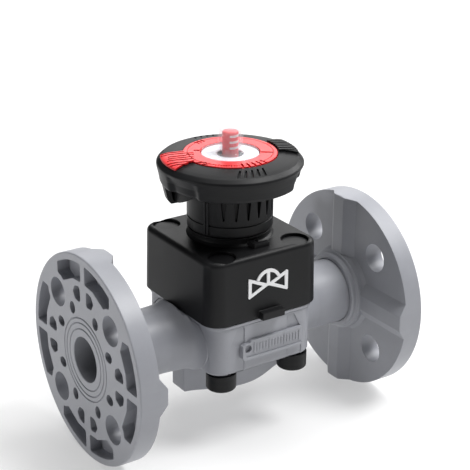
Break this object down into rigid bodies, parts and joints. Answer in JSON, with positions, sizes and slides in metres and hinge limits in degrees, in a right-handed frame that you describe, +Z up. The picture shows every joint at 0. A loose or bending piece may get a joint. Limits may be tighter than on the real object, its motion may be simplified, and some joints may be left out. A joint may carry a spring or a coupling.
{
  "type": "diaphragm valve",
  "caption": "Hand-operated plastic diaphragm valve: flanged weir body, square bonnet, lobed locking handwheel with a clear cap over a rising position indicator.",
  "frame": {"origin": "where the pipe axis crosses the stem axis, inside the body", "axes": "+X along the pipe to the outlet flange, +Z up the stem to the handwheel, +Y to the back"},
  "size_m": [0.18, 0.115, 0.1698],
  "materials": {
    "grey_pvc": "satin moulded grey PVC",
    "black_plastic": "fine-textured black glass-filled polypropylene",
    "red_plastic": "satin red plastic",
    "white_plastic": "smooth white plastic disc",
    "clear_plastic": "clear moulded plastic",
    "rubber": "moulded EPDM",
    "stainless": "machined stainless steel",
    "plated_brass": "nickel-plated brass, turned",
    "acetal": "natural acetal"
  },
  "bodies": {
    "housing": {"valve_body": "grey_pvc", "flange_left": "grey_pvc", "flange_right": "grey_pvc", "bonnet": "black_plastic", "neck_collar": "black_plastic", "lock_crown": "black_plastic", "diaphragm": "rubber", "thrust_washer_lower": "acetal", "thrust_washer_upper": "acetal", "sleeve_seal": "rubber", "bonnet_bolt_back_right": "stainless", "bonnet_bolt_back_left": "stainless", "bonnet_bolt_front_left": "stainless", "bonnet_bolt_front_right": "stainless", "bolt_washer_back_right": "stainless", "bolt_washer_back_left": "stainless", "bolt_washer_front_left": "stainless", "bolt_washer_front_right": "stainless", "bolt_nut_back_right": "stainless", "bolt_nut_back_left": "stainless", "bolt_nut_front_left": "stainless", "bolt_nut_front_right": "stainless", "bolt_cap_back_right": "black_plastic", "bolt_cap_back_left": "black_plastic", "bolt_cap_front_left": "black_plastic", "bolt_cap_front_right": "black_plastic", "bolt_plug_back_right": "black_plastic", "bolt_plug_back_left": "black_plastic", "bolt_plug_front_left": "black_plastic", "bolt_plug_front_right": "black_plastic"},
    "drive": {"drive_sleeve": "plated_brass", "retaining_ring": "stainless"},
    "wheel": {"handwheel": "black_plastic", "lock_ring": "acetal", "dial_ring": "red_plastic", "index_tab": "black_plastic", "tag_plate": "white_plastic", "cap_seal": "rubber", "clear_cap": "clear_plastic"},
    "stem_train": {"stem": "stainless", "floating_pin": "stainless", "compressor": "black_plastic", "diaphragm_stud": "stainless", "position_indicator": "red_plastic"}
  },
  "joints": [
    {"name": "wheel_turn", "type": "hinge", "parent": "housing", "child": "drive", "pos_m": [0, 0, 0.0553], "axis": [0, 0, -1], "range_deg": [0, 1080]},
    {"name": "wheel_lift", "type": "slide", "parent": "drive", "child": "wheel", "axis": [0, 0, 1], "range_m": [0, 0.005]},
    {"name": "stem_travel", "type": "slide", "parent": "housing", "child": "stem_train", "axis": [0, 0, -1], "range_m": [0, 0.012], "deforming": ["diaphragm"]}
  ],
  "couplings": [
    {"joint": "stem_travel", "follows": "wheel_turn", "m_per_rad": 0.0006366}
  ]
}
